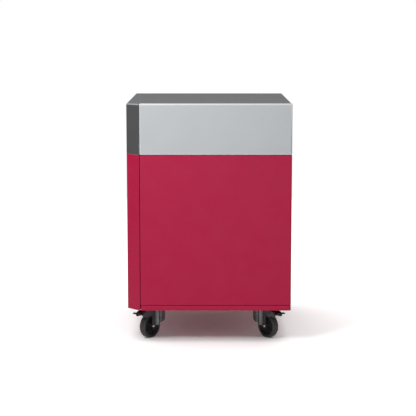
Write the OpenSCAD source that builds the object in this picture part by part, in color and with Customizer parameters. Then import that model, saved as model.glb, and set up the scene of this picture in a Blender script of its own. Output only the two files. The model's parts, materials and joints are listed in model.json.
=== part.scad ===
// Mobile steel pedestal cabinet with a box drawer over a tall file drawer, on four swivel casters.
// +X is to the cabinet's right, the drawer fronts face -Y, +Z is up, the floor is z = 0.

/* [Cabinet] */
// Overall width
cab_w = 400; // [340:1:520]
// Overall depth, front face to back panel
cab_d = 450; // [400:1:600]
// Height of the body without the casters
body_h = 505; // [460:1:640]
// Sheet steel thickness
sheet = 1.2; // [0.8:0.1:1.6]
// Legs of the chamfered front left corner
chamfer = 31.5; // [20:0.5:45]
// Outer radius of the rolled edges
edge_r = 4; // [2.5:0.5:6]
// Depth of the recess under the body that hides the caster plates
pan_recess = 3; // [2:0.5:8]

/* [Fronts] */
// Height of the upper front, from the top down to the seam
seam_drop = 123; // [115:1:150]
// Height of the plinth strip under the lower front
plinth_h = 12.4; // [10:0.1:20]
// Gap between one front and the next, up the height
front_gap = 1.2; // [0.8:0.1:3]
// Gap between the corner post and the fronts
post_gap = 1.5; // [1:0.1:3]
// Gap between the corner post and the plinth strip
plinth_gap = 2.2; // [1:0.1:3]
// Thickness of a double-skinned front
front_t = 18; // [14:1:24]
// Space between a closed front and the shell behind it
reveal = 2.5; // [2:0.1:4]
// Depth of the folded edges of the pan inside a front
pan_fold = 10; // [6:1:12]

/* [Drawers] */
// Width of the fixed frame on each side of the drawer bay, beside the fronts
jamb = 18; // [14:1:24]
// Space over the box drawer's sides, up to the lintel
tray_head = 10.8; // [5:0.1:40]
// Space over the file drawer's sides, up to the rail between the drawers
file_head = 80.8; // [30:0.1:140]
// Space behind the drawers for the push latches
latch_bay = 42; // [38:1:60]
// Distance from each end of the file drawer to its hanging file bar
file_bar_in = 28.5; // [10:0.5:60]
// Thickness of a hanging file bar
bar_t = 3; // [2:0.5:5]
// Height of a hanging file bar
bar_h = 14; // [10:1:18]
// Depth of the pen tray, front to back
pen_tray_d = 92; // [60:1:120]
// Height of the pen tray
pen_tray_h = 24; // [16:1:40]
// Wall of the pen tray
pen_wall = 2; // [1.5:0.1:3]

/* [Runners] */
// Thickness of a three-part telescopic runner
rail_w = 12.7; // [12:0.1:14]
// Height of a runner
rail_h = 45; // [40:1:50]
// Metal thickness of a runner
rail_t = 1.2; // [1:0.1:1.5]
// Distance from the back of a drawer to the back end of its fixed runners
rail_back_in = 1.5; // [0:0.5:60]

/* [Casters] */
// Wheel diameter
wheel_d = 60; // [50:1:75]
// Wheel width
wheel_w = 17; // [14:1:22]
// Tyre thickness on the tread
tyre_t = 5; // [3:0.5:8]
// Height from the top of the wheel to the underside of the body
crown_h = 20; // [18:1:30]
// Distance from the swivel axis to the axle
trail = 22; // [18:1:26]
// Distance from the cabinet's side to the swivel axis
caster_in_x = 67; // [60:1:90]
// Distance from the cabinet's front or back to the swivel axis
caster_in_y = 75; // [62:1:100]
// Angle between the front wheels and the cabinet's width
front_turn = 50; // [0:1:90]
// Angle between the rear wheels and the cabinet's width
rear_turn = 65; // [0:1:90]
// Side of the square caster plate
plate_w = 60; // [54:1:70]
// Thickness of the caster plate
plate_t = 2.5; // [2:0.1:4]
// Distance between the caster screws, both ways
screw_pitch = 46; // [40:1:50]
// Thickness of the fork's metal
fork_t = 2.5; // [2:0.1:3.5]
// Radius of the swivel head
head_r = 23; // [20:0.5:26]
// Diameter of the axle
axle_d = 6; // [5:0.5:8]
// Diameter of the kingpin
kingpin_d = 8; // [6:0.5:10]
// Clearance on a diameter where one part turns on another
running_fit = 0.1; // [0.05:0.01:0.2]

/* [Hidden] */
$fn = 64;
eps = 1;                                      // how far a cut runs past the face that it opens

// Colours
graphite = "#55565a";
silver = "#c3c7ca";
crimson = "#a82a48";
zinc = "#b9bcc0";
black = "#1c1c1e";
grey = "#6f7276";

// Outer faces of the body
left_x = -cab_w / 2;
right_x = cab_w / 2;
front_y = -cab_d / 2;
back_y = cab_d / 2;
base_z = wheel_d + crown_h;
top_z = base_z + body_h;
seam_z = top_z - seam_drop;

// Fronts
front_x = left_x + chamfer + post_gap;        // left edge of both fronts
inner_y = front_y + front_t;                  // back face of a front
shell_y = inner_y + reveal;                   // front edge of the shell, behind the fronts
lower_front_z = base_z + plinth_h + front_gap;
lower_front_top = seam_z - front_gap / 2;
upper_front_z = seam_z + front_gap / 2;

// Drawer bay
bay_x = front_x + jamb - 1;                   // left side of the bay, 1 short of a full jamb
bay_end = right_x - jamb;                     // right side of the bay
pan_z = base_z + pan_recess;                  // underside of the body's floor
floor_z = pan_z + sheet;
base_plate_t = 3;
lintel = 22;                                  // height of the shell's edge over the box drawer
sill_h = 9;                                   // height of the shell's edge under the file drawer
sill_z = floor_z + base_plate_t + sill_h;     // lower edge of the bay
cross_rail_h = 20;
cross_rail_z = seam_z - cross_rail_h / 2;
fold = 12;                                    // depth of the shells' and the liners' rear folds

// Drawer boxes
box_x = bay_x + rail_w;
box_end = bay_end - rail_w;
box_back = back_y - latch_bay - 3;
box_gap = 3;                                  // the box drawer's clearance over the rail under it
sill_gap = 3.8;                               // the file drawer's clearance over the sill
tray_z = cross_rail_z + cross_rail_h + box_gap;
tray_h = top_z - lintel - tray_head - sheet - tray_z;         // inside height of the box drawer
file_z = sill_z + sill_gap;
file_h = cross_rail_z - file_head - sheet - file_z;           // inside height of the file drawer
upper_rail_z = tray_z + sheet + tray_h / 2;
lower_rail_z = file_z + sheet + file_h * 0.55;
rail_y = shell_y + 5;                         // front end of the fixed runners
rail_l = box_back - rail_back_in - rail_y;

// Casters
axle_z = wheel_d / 2;
plate_z = pan_z - plate_t;                    // underside of the caster plates
head_gap = 0.5;                               // running gap between the plate and the swivel head
head_top = plate_z - head_gap;
head_h = 11;
fork_in = wheel_w / 2 + 1.5;                  // half the space between the fork's legs
screw_d = 6;

// Shell

// Plan of the body, moved in from its outer face by inset, open at the back where back is past it.
module body_plan(inset, back)
{
    cut = inset * (sqrt(2) - 1);
    x = left_x + inset;
    y = shell_y + inset;
    post_x = left_x + chamfer - inset;
    polygon([
        [x, back], [x, front_y + chamfer + cut], [post_x, front_y + inset + inset * sqrt(2)],
        [post_x, y], [right_x - inset, y], [right_x - inset, back]
    ]);
}

// A bar of length l along +X whose section is what a corner at the origin loses when it is rounded.
// The solid lies towards -Y and -Z of the corner.
module roll_cut(l, r)
{
    rotate([90, 0, 90])
        linear_extrude(l)
            difference()
            {
                translate([-r, -r]) square(r + eps);
                translate([-r, -r]) circle(r);
            }
}

// The upper body as a solid with its top edges rolled, moved in by inset.
module upper_mass(inset, back, bottom)
{
    r = edge_r - inset;
    z = top_z - inset;
    x = left_x + inset;
    difference()
    {
        translate([0, 0, bottom]) linear_extrude(z - bottom) body_plan(inset, back);
        // right and left edges
        translate([right_x - inset, back + eps, z]) rotate([0, 0, -90])
            roll_cut(cab_d * 2, r);
        translate([x, back - cab_d * 2, z]) rotate([0, 0, 90]) roll_cut(cab_d * 2 + eps, r);
        // edge of the chamfer, rolled a little tighter so that the two rolls cross cleanly
        translate([x, front_y + chamfer + inset * (sqrt(2) - 1), z])
            rotate([0, 0, -45]) translate([-chamfer, 0, 0]) mirror([0, 1, 0])
                roll_cut(chamfer * 3, r - 0.4);
    }
}

// Folded edge inside the back of a shell's two sides.
module rear_folds(z0, z1)
{
    y = back_y - 2 * sheet;
    for (x = [left_x + sheet, right_x - sheet - fold])
        translate([x, y, z0]) cube([fold, sheet, z1 - z0]);
}

module lower_shell()
{
    color(crimson)
    union()
    {
        difference()
        {
            translate([0, 0, base_z]) linear_extrude(seam_z - base_z) body_plan(0, back_y);
            translate([0, 0, floor_z]) linear_extrude(body_h) body_plan(sheet, back_y + eps);
            translate([0, 0, base_z - eps]) linear_extrude(pan_recess + eps)
                body_plan(sheet, back_y + eps);
            translate([bay_x, shell_y - eps, sill_z])
                cube([bay_end - bay_x, sheet + 2 * eps, body_h]);
            caster_holes(screw_d + 0.6);
        }
        rear_folds(floor_z, seam_z);
    }
}

module upper_shell()
{
    color(graphite)
    union()
    {
        difference()
        {
            upper_mass(0, back_y, seam_z);
            upper_mass(sheet, back_y + eps, seam_z - eps);
            translate([bay_x, shell_y - eps, seam_z - eps])
                cube([bay_end - bay_x, sheet + 2 * eps, seam_drop - lintel + eps]);
        }
        rear_folds(seam_z, top_z - 2 * edge_r);
    }
}

module lower_back_panel()
{
    color(crimson)
    translate([left_x + sheet, back_y - sheet, floor_z])
        cube([cab_w - 2 * sheet, sheet, seam_z - floor_z]);
}

module upper_back_panel()
{
    color(graphite)
    intersection()
    {
        upper_mass(sheet, back_y, seam_z);
        translate([left_x, back_y - sheet, seam_z]) cube([cab_w, sheet, seam_drop]);
    }
}

module base_plate()
{
    margin = 8;
    color(zinc)
    difference()
    {
        translate([left_x + margin, shell_y + margin, floor_z])
            cube([cab_w - 2 * margin, back_y - shell_y - 2 * margin, base_plate_t]);
        caster_holes(screw_d);
    }
}

module plinth_strip()
{
    x = left_x + chamfer + plinth_gap;
    depth = shell_y - front_y;
    color(crimson)
    difference()
    {
        translate([x, front_y, base_z]) cube([right_x - x, depth, plinth_h]);
        translate([x + sheet, front_y + sheet, base_z + sheet])
            cube([right_x - x - 2 * sheet, depth, plinth_h - 2 * sheet]);
        right_roll(base_z - eps, plinth_h + 2 * eps);
    }
}

// What the right front edge loses when it is rolled, from z up by h.
module right_roll(z, h)
{
    translate([right_x, front_y, z + h]) rotate([0, 90, 0]) mirror([0, 1, 0]) roll_cut(h, edge_r);
}

// Folded liner that carries the runners: its face is at x = 0, the folds go to -X.
module liner(height)
{
    y = shell_y + sheet;
    depth = back_y - 2 * sheet - y;
    translate([-sheet, y, 0]) cube([sheet, depth, height]);
    for (fy = [y, y + depth - sheet])
        translate([-fold, fy, 0]) cube([fold, sheet, height]);
}

module left_liner()
{
    color(zinc)
    translate([bay_x, 0, floor_z + base_plate_t]) liner(top_z - sheet - floor_z - base_plate_t);
}

module right_liner()
{
    color(zinc)
    translate([bay_end, 0, floor_z + base_plate_t])
        mirror([1, 0, 0]) liner(top_z - sheet - floor_z - base_plate_t);
}

module front_cross_rail()
{
    depth = 20;
    color(zinc)
    translate([bay_x, shell_y, cross_rail_z])
        difference()
        {
            cube([bay_end - bay_x, depth, cross_rail_h]);
            translate([-eps, sheet, sheet])
                cube([bay_end - bay_x + 2 * eps, depth, cross_rail_h - 2 * sheet]);
        }
}

// Counterweight on the floor at the back, a little lower than the sill.
module ballast_block()
{
    w = 180;
    d = 150;
    from_back = 30;
    color(grey)
    translate([-w / 2, back_y - from_back - d, floor_z + base_plate_t]) cube([w, d, sill_h - 1]);
}

// Runners, drawn for the left side: the fixed face is at x = 0 and the drawer's side at x = rail_w.
// The middle of the runner's height is z = 0 and its front end is y = 0. The three channels nest.
rail_nest = 4;                                // how much less high each channel is than the last, each way
rail_lip = rail_w * 0.3;                      // from the fixed channel's edge to the drawer's side
rail_side_gap = 2.2;                          // from the middle channel's edges to the runner's two sides
rail_stop = 5;                                // how much shorter each channel is than the one outside it

// A channel with a web from web_x and two flanges from x0 to x1 at height half.
module runner_channel(web_x, x0, x1, half, l)
{
    translate([web_x, 0, -half]) cube([rail_t, l, 2 * half]);
    for (z = [-half, half - rail_t])
        translate([x0, 0, z]) cube([x1 - x0, l, rail_t]);
}

module fixed_rail()
{
    runner_channel(0, 0, rail_w - rail_lip, rail_h / 2, rail_l);
}

module middle_rail()
{
    runner_channel(rail_w * 0.4, rail_side_gap, rail_w - rail_side_gap, rail_h / 2 - rail_nest,
        rail_l - 2 * rail_stop);
}

module inner_rail()
{
    runner_channel(rail_w - rail_t, rail_w * 0.6, rail_w, rail_h / 2 - 2 * rail_nest,
        rail_l - rail_stop);
}

module left_runner(z)
{
    color(zinc) translate([bay_x, rail_y, z]) children();
}

module right_runner(z)
{
    color(zinc) translate([bay_end, rail_y, z]) mirror([1, 0, 0]) children();
}

module upper_fixed_rail_left() { left_runner(upper_rail_z) fixed_rail(); }
module upper_fixed_rail_right() { right_runner(upper_rail_z) fixed_rail(); }
module lower_fixed_rail_left() { left_runner(lower_rail_z) fixed_rail(); }
module lower_fixed_rail_right() { right_runner(lower_rail_z) fixed_rail(); }
module upper_middle_rail_left() { left_runner(upper_rail_z) middle_rail(); }
module upper_middle_rail_right() { right_runner(upper_rail_z) middle_rail(); }
module lower_middle_rail_left() { left_runner(lower_rail_z) middle_rail(); }
module lower_middle_rail_right() { right_runner(lower_rail_z) middle_rail(); }
module upper_inner_rail_left() { left_runner(upper_rail_z) inner_rail(); }
module upper_inner_rail_right() { right_runner(upper_rail_z) inner_rail(); }
module lower_inner_rail_left() { left_runner(lower_rail_z) inner_rail(); }
module lower_inner_rail_right() { right_runner(lower_rail_z) inner_rail(); }

// Low heads of the screws that hold the fixed runners to the liners.
module frame_screws()
{
    head_d = 7;
    head_h = 1;
    from_front = 30;
    from_end = 40;
    color(zinc)
    for (z = [upper_rail_z, lower_rail_z], y = [rail_y + from_front, rail_y + rail_l - from_end])
    {
        translate([bay_x + rail_t, y, z]) rotate([0, 90, 0]) cylinder(h = head_h, d = head_d);
        translate([bay_end - rail_t, y, z]) rotate([0, -90, 0]) cylinder(h = head_h, d = head_d);
    }
}

// Push latches on the back panel, one behind each drawer.
latch_w = 14;
latch_x = (bay_x + bay_end) / 2;
plunger_d = 7;
plunger_gap = 0.3;                            // between the plunger and the back of a closed drawer
plunger_out = 5;                              // how far the plunger stands out of its body
latch_l = back_y - sheet - box_back - plunger_gap - plunger_out;
latch_floor = 6;                              // solid back of a latch body
plunger_stroke = 10;                          // free depth behind a plunger, more than its travel
upper_latch_z = tray_z + tray_h / 2;
lower_latch_z = file_z + file_h * 0.7;

module latch_bodies()
{
    color(black)
    for (z = [upper_latch_z, lower_latch_z])
        translate([latch_x - latch_w / 2, back_y - sheet - latch_l, z - latch_w / 2])
            difference()
            {
                cube([latch_w, latch_l, latch_w]);
                translate([latch_w / 2, -eps, latch_w / 2]) rotate([-90, 0, 0])
                    cylinder(h = latch_l - latch_floor + eps, d = plunger_d + running_fit);
            }
}

module plunger(z)
{
    color(silver)
    translate([latch_x, box_back + plunger_gap, z]) rotate([-90, 0, 0])
        cylinder(h = plunger_out + latch_l - latch_floor - plunger_stroke, d = plunger_d);
}

module upper_plunger() { plunger(upper_latch_z); }
module lower_plunger() { plunger(lower_latch_z); }

// Rubber buffers on the shell's front edge, where the closed fronts come to rest.
module front_buffers()
{
    buffer_d = 8;
    buffer_h = reveal - 0.3;
    side_in = 6;
    edge_in = 24;
    color(black)
    for (x = [front_x + side_in, right_x - side_in - 3], z = [lower_front_z + edge_in,
            lower_front_top - edge_in, upper_front_z + edge_in, top_z - edge_in - 6])
        translate([x, shell_y, z]) rotate([90, 0, 0]) cylinder(h = buffer_h, d = buffer_d);
}

// Fronts

// Solid form of a front from z0 to z1, moved in by inset, with its rolled edges.
module front_mass(z0, z1, inset, roll_top)
{
    r = edge_r - inset;
    x = front_x + inset;
    w = right_x - inset - x;
    y = front_y + inset;
    difference()
    {
        translate([x, y, z0 + inset]) cube([w, front_t, z1 - z0 - 2 * inset]);
        translate([right_x - inset, y, z1 + eps]) rotate([0, 90, 0]) mirror([0, 1, 0])
            roll_cut(z1 - z0 + 2 * eps, r);
        if (roll_top)
            translate([x - eps, y, z1 - inset]) mirror([0, 1, 0]) roll_cut(w + 2 * eps, r);
    }
}

module front_skin(z0, z1, roll_top)
{
    difference()
    {
        intersection()
        {
            front_mass(z0, z1, 0, roll_top);
            translate([left_x, front_y, z0]) cube([cab_w, front_t, z1 - z0]);
        }
        front_mass(z0, z1, sheet, roll_top);
    }
}

module front_pan(z0, z1, holes)
{
    difference()
    {
        translate([front_x + sheet, inner_y - pan_fold, z0 + sheet])
            cube([right_x - front_x - 2 * sheet, pan_fold, z1 - z0 - 2 * sheet]);
        translate([front_x + 2 * sheet, inner_y - pan_fold - eps, z0 + 2 * sheet])
            cube([right_x - front_x - 4 * sheet, pan_fold - sheet + eps, z1 - z0 - 4 * sheet]);
        for (p = holes)
            translate([p[0], inner_y, p[1]]) rotate([90, 0, 0])
                cylinder(h = 4 * sheet, d = drawer_screw_d, center = true);
    }
}

// Places of the screws through the front wall of a drawer at height z and h high, dz in from its edges.
function screw_grid(z, h, dz) =
    [for (x = [box_x + screw_in, box_end - screw_in], sz = [z + dz, z + h - dz]) [x, sz]];

drawer_screw_d = 4;
screw_in = 30;                                // from a drawer's sides to its screws
upper_screws = screw_grid(tray_z, tray_h, screw_in / 2);
lower_screws = screw_grid(file_z, file_h, screw_in);

module upper_front_skin() { color(silver) front_skin(upper_front_z, top_z, true); }
module upper_front_pan() { color(silver) front_pan(upper_front_z, top_z, upper_screws); }
module lower_front_skin() { color(crimson) front_skin(lower_front_z, lower_front_top, false); }
module lower_front_pan() { color(crimson) front_pan(lower_front_z, lower_front_top, lower_screws); }

// Drawer box with its front wall, open at the top and the back, with folded rims along its sides.
module drawer_box(z, h, holes)
{
    rim = 6;
    w = box_end - box_x;
    d = box_back - inner_y;
    difference()
    {
        translate([box_x, inner_y, z]) cube([w, d, h + sheet]);
        translate([box_x + sheet, inner_y + sheet, z + sheet]) cube([w - 2 * sheet, d, h - sheet]);
        translate([box_x + rim, inner_y + sheet, z + sheet]) cube([w - 2 * rim, d, h + eps]);
        for (p = holes)
            translate([p[0], inner_y, p[1]]) rotate([90, 0, 0])
                cylinder(h = 4 * sheet, d = drawer_screw_d, center = true);
    }
}

module drawer_back(z, h)
{
    w = box_end - box_x - 2 * sheet;
    translate([box_x + sheet, box_back - sheet, z + sheet]) cube([w, sheet, h - sheet]);
}

module drawer_screws(places)
{
    head_d = 7.5;
    head_h = 2;
    for (p = places)
        translate([p[0], inner_y + sheet, p[1]]) rotate([90, 0, 0])
        {
            cylinder(h = 10, d = drawer_screw_d);
            translate([0, 0, -head_h]) cylinder(h = head_h, d = head_d);
        }
}

module tray() { color(graphite) drawer_box(tray_z, tray_h, upper_screws); }
module tray_back() { color(graphite) drawer_back(tray_z, tray_h); }
module upper_drawer_screws() { color(zinc) drawer_screws(upper_screws); }
module file_box() { color(graphite) drawer_box(file_z, file_h, lower_screws); }
module file_box_back() { color(graphite) drawer_back(file_z, file_h); }
module lower_drawer_screws() { color(zinc) drawer_screws(lower_screws); }

// Moulded insert with compartments across its width, at the front of the box drawer.
pen_tray_gap = 0.5;
pen_tray_in = 2.5;                            // behind the drawer's front wall, clear of the screw heads
pen_x = box_x + sheet + pen_tray_gap;
pen_w = box_end - box_x - 2 * sheet - 2 * pen_tray_gap;
pen_cells = [0.62, 0.38];                     // shares of the width of the cells
module pen_tray()
{
    y = inner_y + sheet + pen_tray_in;
    inner = pen_w - pen_wall * (len(pen_cells) + 1);
    color(black)
    translate([pen_x, y, tray_z + sheet])
        difference()
        {
            cube([pen_w, pen_tray_d, pen_tray_h]);
            translate([pen_wall, pen_wall, pen_wall])
                cube([inner * pen_cells[0], pen_tray_d - 2 * pen_wall, pen_tray_h]);
            translate([2 * pen_wall + inner * pen_cells[0], pen_wall, pen_wall])
                cube([inner * pen_cells[1], pen_tray_d - 2 * pen_wall, pen_tray_h]);
        }
}

// Two bars across the file drawer, resting on its rims.
module file_bars()
{
    foot = [5.2, 12, 2];                      // foot at each end of a bar, on the drawer's rim
    w = box_end - box_x;
    color(zinc)
    for (y = [inner_y + file_bar_in, box_back - file_bar_in - bar_t])
        translate([box_x, y, file_z + sheet + file_h])
        {
            cube([w, bar_t, bar_h]);
            for (x = [0, w - foot[0]])
                translate([x, (bar_t - foot[1]) / 2, 0]) cube(foot);
        }
}

// Casters. In a caster's own frame the swivel axis is Z, the wheel trails towards +X, and the floor
// is z = 0.
caster_x = cab_w / 2 - caster_in_x;
caster_y = cab_d / 2 - caster_in_y;

module at_front_left() { translate([-caster_x, -caster_y, 0]) rotate(180 + front_turn) children(); }
module at_front_right() { translate([caster_x, -caster_y, 0]) rotate(-front_turn) children(); }
module at_rear_left() { translate([-caster_x, caster_y, 0]) rotate(180 - rear_turn) children(); }
module at_rear_right() { translate([caster_x, caster_y, 0]) rotate(rear_turn) children(); }

module all_casters()
{
    for (x = [-caster_x, caster_x], y = [-caster_y, caster_y])
        translate([x, y, 0]) children();
}

module screw_places()
{
    for (x = [-screw_pitch / 2, screw_pitch / 2], y = [-screw_pitch / 2, screw_pitch / 2])
        translate([x, y, 0]) children();
}

module caster_holes(d)
{
    all_casters() screw_places() translate([0, 0, plate_z - eps]) cylinder(h = 30, d = d);
}

module caster_plates()
{
    color(zinc)
    difference()
    {
        all_casters()
            translate([-plate_w / 2, -plate_w / 2, plate_z]) cube([plate_w, plate_w, plate_t]);
        caster_holes(screw_d);
        all_casters() translate([0, 0, plate_z - eps]) cylinder(h = plate_t + 2 * eps, d = kingpin_d);
    }
}

module caster_kingpins()
{
    flange_d = 14;
    flange_h = 2.5;
    flange_top = head_top - head_h - head_gap;
    color(zinc)
    all_casters()
    {
        translate([0, 0, flange_top]) cylinder(h = pan_z - flange_top, d = kingpin_d);
        translate([0, 0, flange_top - flange_h]) cylinder(h = flange_h, d = flange_d);
    }
}

module caster_screws()
{
    head_d = 10;
    head_h = 3;
    color(zinc)
    all_casters() screw_places()
    {
        translate([0, 0, plate_z - head_h]) cylinder(h = head_h, d = head_d);
        translate([0, 0, plate_z]) cylinder(h = plate_t + sheet + base_plate_t, d = screw_d);
    }
}

// Both side plates of the fork, as one outline from the side, at the two sides of the wheel.
module fork_sides(outer)
{
    for (y = [-outer, outer - fork_t])
        translate([0, y, 0]) rotate([90, 0, 0]) mirror([0, 0, 1]) linear_extrude(fork_t) children();
}

// Leg from the head down to the axle.
module leg_outline()
{
    boss_r = 5.5;
    polygon([
        [trail * 0.3, head_top - head_h], [trail * 0.3, wheel_d * 0.62], [trail - 4, axle_z - 4],
        [trail + 4, axle_z - 4], [trail + 4, head_top - head_h]
    ]);
    translate([trail, axle_z]) circle(boss_r);
}

// Skirt over the wheel, out to reach.
module skirt_outline(reach)
{
    polygon([
        [trail * 0.3, head_top - head_h + 2], [trail * 0.3, wheel_d - 3], [reach - 3, wheel_d - 3],
        [reach, wheel_d], [reach, wheel_d + 6], [reach - 12, head_top - head_h + 2]
    ]);
}

pedal_hinge = [trail + 12, wheel_d + 6.5];    // along the trail, and up
pedal_pin_d = 3;
skirt_reach = trail + wheel_d / 2 + 8;

module fork(braked)
{
    outer = fork_in + fork_t;
    horn_r = 32;
    horn_z = wheel_d + 10;
    step_x = trail * 0.36;                    // front face of the horn
    color(black)
    difference()
    {
        union()
        {
            // swivel head
            translate([0, 0, head_top - head_h]) cylinder(h = head_h, r = head_r);
            // horn behind the legs, hollow, with a curved lower edge
            intersection()
            {
                difference()
                {
                    cylinder(h = head_top - head_h + 0.5, r = head_r);
                    translate([0, 0, -eps]) cylinder(h = head_top, r = head_r - fork_t);
                }
                translate([step_x + 1, 0, horn_z]) rotate([90, 0, 0])
                    cylinder(h = 2 * head_r + 2, r = horn_r, center = true);
                translate([-head_r - eps, -head_r - eps, 0])
                    cube([head_r + step_x + eps, 2 * head_r + 2 * eps, head_top]);
            }
            // front faces of the horn, from the legs out to its wall
            for (side = [-1, 1])
                intersection()
                {
                    cylinder(h = head_top - head_h + 0.5, r = head_r);
                    translate([step_x - fork_t, side > 0 ? fork_in : -head_r, 0])
                        cube([fork_t, head_r - fork_in, head_top]);
                    translate([step_x + 1, 0, horn_z]) rotate([90, 0, 0])
                        cylinder(h = 2 * head_r + 2, r = horn_r, center = true);
                }
            fork_sides(outer) leg_outline();
            fork_sides(outer) skirt_outline(braked ? skirt_reach : trail + wheel_d * 0.36);
            // roof over the wheel
            translate([trail * 0.3, -outer, head_top - head_h - 0.5])
                cube([trail * 0.9, 2 * outer, fork_t]);
            if (braked)
                translate([pedal_hinge[0], 0, pedal_hinge[1]]) rotate([90, 0, 0])
                    cylinder(h = 2 * outer, d = pedal_pin_d, center = true);
        }
        translate([0, 0, head_top - head_h - eps]) cylinder(h = head_h + 2 * eps,
            d = kingpin_d + running_fit);
        translate([trail, 0, axle_z]) rotate([90, 0, 0])
            cylinder(h = 4 * outer, d = axle_d, center = true);
        // bearing recess in the top of the head
        translate([0, 0, head_top - 1.5]) difference()
        {
            cylinder(h = 1.5 + eps, r = head_r - 3);
            translate([0, 0, -eps]) cylinder(h = 4, r = head_r - 12);
        }
    }
}

module axle()
{
    outer = fork_in + fork_t;
    head_d = 9;
    head_h = 2;
    color(silver)
    translate([trail, 0, axle_z]) rotate([90, 0, 0])
    {
        cylinder(h = 2 * outer, d = axle_d, center = true);
        for (side = [0, 1])
            mirror([0, 0, side]) translate([0, 0, outer]) cylinder(h = head_h, d = head_d);
    }
}

// Hub: a rim, a thin web and a boss on the axle.
module hub()
{
    rim_r = wheel_d / 2 - tyre_t;
    half = wheel_w / 2;
    rim_t = 2.5;
    web_half = 2;
    boss_r = 7;
    color(black)
    translate([trail, 0, axle_z]) rotate([90, 0, 0])
        rotate_extrude()
            polygon([
                [(axle_d + running_fit) / 2, -half - 0.8], [boss_r, -half - 0.8],
                [boss_r, -web_half], [rim_r - rim_t, -web_half], [rim_r - rim_t, -half + 1],
                [rim_r, -half + 1], [rim_r, half - 1], [rim_r - rim_t, half - 1],
                [rim_r - rim_t, web_half], [boss_r, web_half], [boss_r, half + 0.8],
                [(axle_d + running_fit) / 2, half + 0.8]
            ]);
}

module tyre()
{
    r = wheel_d / 2;
    half = wheel_w / 2;
    round_r = 3;
    color(black)
    translate([trail, 0, axle_z]) rotate([90, 0, 0])
        rotate_extrude()
            intersection()
            {
                union()
                {
                    translate([r - tyre_t, -half + round_r])
                        square([tyre_t, 2 * half - 2 * round_r]);
                    translate([r - tyre_t, -half]) square([tyre_t - round_r, 2 * half]);
                    for (y = [-half + round_r, half - round_r])
                        translate([r - round_r, y]) circle(round_r);
                }
                translate([r - tyre_t, -half]) square([tyre_t, 2 * half]);
            }
}

// Foot lever of the brake, hinged between the skirts, with a shoe over the tyre and a forked tip.
module pedal()
{
    half = fork_in - 0.6;
    tip_start = skirt_reach + 1;
    tip_x = skirt_reach + 8;
    tip_half = 15;
    lever_t = 3;
    z = pedal_hinge[1] - lever_t / 2 - 0.5;
    shoe_x = pedal_hinge[0] + 6;
    shoe_gap = 2.2;
    shoe_l = 6;
    shoe_edge = shoe_x - trail + shoe_l / 2;
    shoe_z = axle_z + sqrt(pow(wheel_d / 2 + shoe_gap, 2) - pow(shoe_edge - shoe_l / 2, 2));
    color(black)
    difference()
    {
        union()
        {
            translate([pedal_hinge[0], 0, pedal_hinge[1]]) rotate([90, 0, 0])
                cylinder(h = 2 * half, r = 3.4, center = true);
            translate([pedal_hinge[0], -half, z])
                cube([tip_start - pedal_hinge[0] + 1, 2 * half, lever_t]);
            translate([tip_start, -tip_half, z]) cube([tip_x - tip_start, 2 * tip_half, lever_t]);
            translate([shoe_x - shoe_l / 2, -half + 2, shoe_z])
                cube([shoe_l, 2 * half - 4, z - shoe_z + 1]);
        }
        translate([pedal_hinge[0], 0, pedal_hinge[1]]) rotate([90, 0, 0])
            cylinder(h = 4 * half, d = pedal_pin_d + running_fit, center = true);
        translate([tip_x - 6, -4, z - eps]) cube([6 + eps, 8, lever_t + 2 * eps]);
    }
}

module front_left_fork() { at_front_left() fork(true); }
module front_left_axle() { at_front_left() axle(); }
module front_left_hub() { at_front_left() hub(); }
module front_left_tyre() { at_front_left() tyre(); }
module front_left_pedal() { at_front_left() pedal(); }
module front_right_fork() { at_front_right() fork(true); }
module front_right_axle() { at_front_right() axle(); }
module front_right_hub() { at_front_right() hub(); }
module front_right_tyre() { at_front_right() tyre(); }
module front_right_pedal() { at_front_right() pedal(); }
module rear_left_fork() { at_rear_left() fork(false); }
module rear_left_axle() { at_rear_left() axle(); }
module rear_left_hub() { at_rear_left() hub(); }
module rear_left_tyre() { at_rear_left() tyre(); }
module rear_right_fork() { at_rear_right() fork(false); }
module rear_right_axle() { at_rear_right() axle(); }
module rear_right_hub() { at_rear_right() hub(); }
module rear_right_tyre() { at_rear_right() tyre(); }

lower_shell();
upper_shell();
lower_back_panel();
upper_back_panel();
base_plate();
plinth_strip();
left_liner();
right_liner();
front_cross_rail();
ballast_block();
upper_fixed_rail_left();
upper_fixed_rail_right();
lower_fixed_rail_left();
lower_fixed_rail_right();
caster_plates();
caster_kingpins();
caster_screws();
frame_screws();
latch_bodies();
front_buffers();
upper_front_skin();
upper_front_pan();
tray();
tray_back();
upper_inner_rail_left();
upper_inner_rail_right();
pen_tray();
upper_drawer_screws();
upper_middle_rail_left();
upper_middle_rail_right();
lower_front_skin();
lower_front_pan();
file_box();
file_box_back();
lower_inner_rail_left();
lower_inner_rail_right();
file_bars();
lower_drawer_screws();
lower_middle_rail_left();
lower_middle_rail_right();
upper_plunger();
lower_plunger();
front_left_fork();
front_left_axle();
front_left_hub();
front_left_tyre();
front_left_pedal();
front_right_fork();
front_right_axle();
front_right_hub();
front_right_tyre();
front_right_pedal();
rear_left_fork();
rear_left_axle();
rear_left_hub();
rear_left_tyre();
rear_right_fork();
rear_right_axle();
rear_right_hub();
rear_right_tyre();
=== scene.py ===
"""Looks of a mobile steel pedestal cabinet: painted sheet-metal shells and fronts, drawers and casters."""
import json
import math

import bmesh
import bpy
from mathutils import Matrix, Vector


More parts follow.
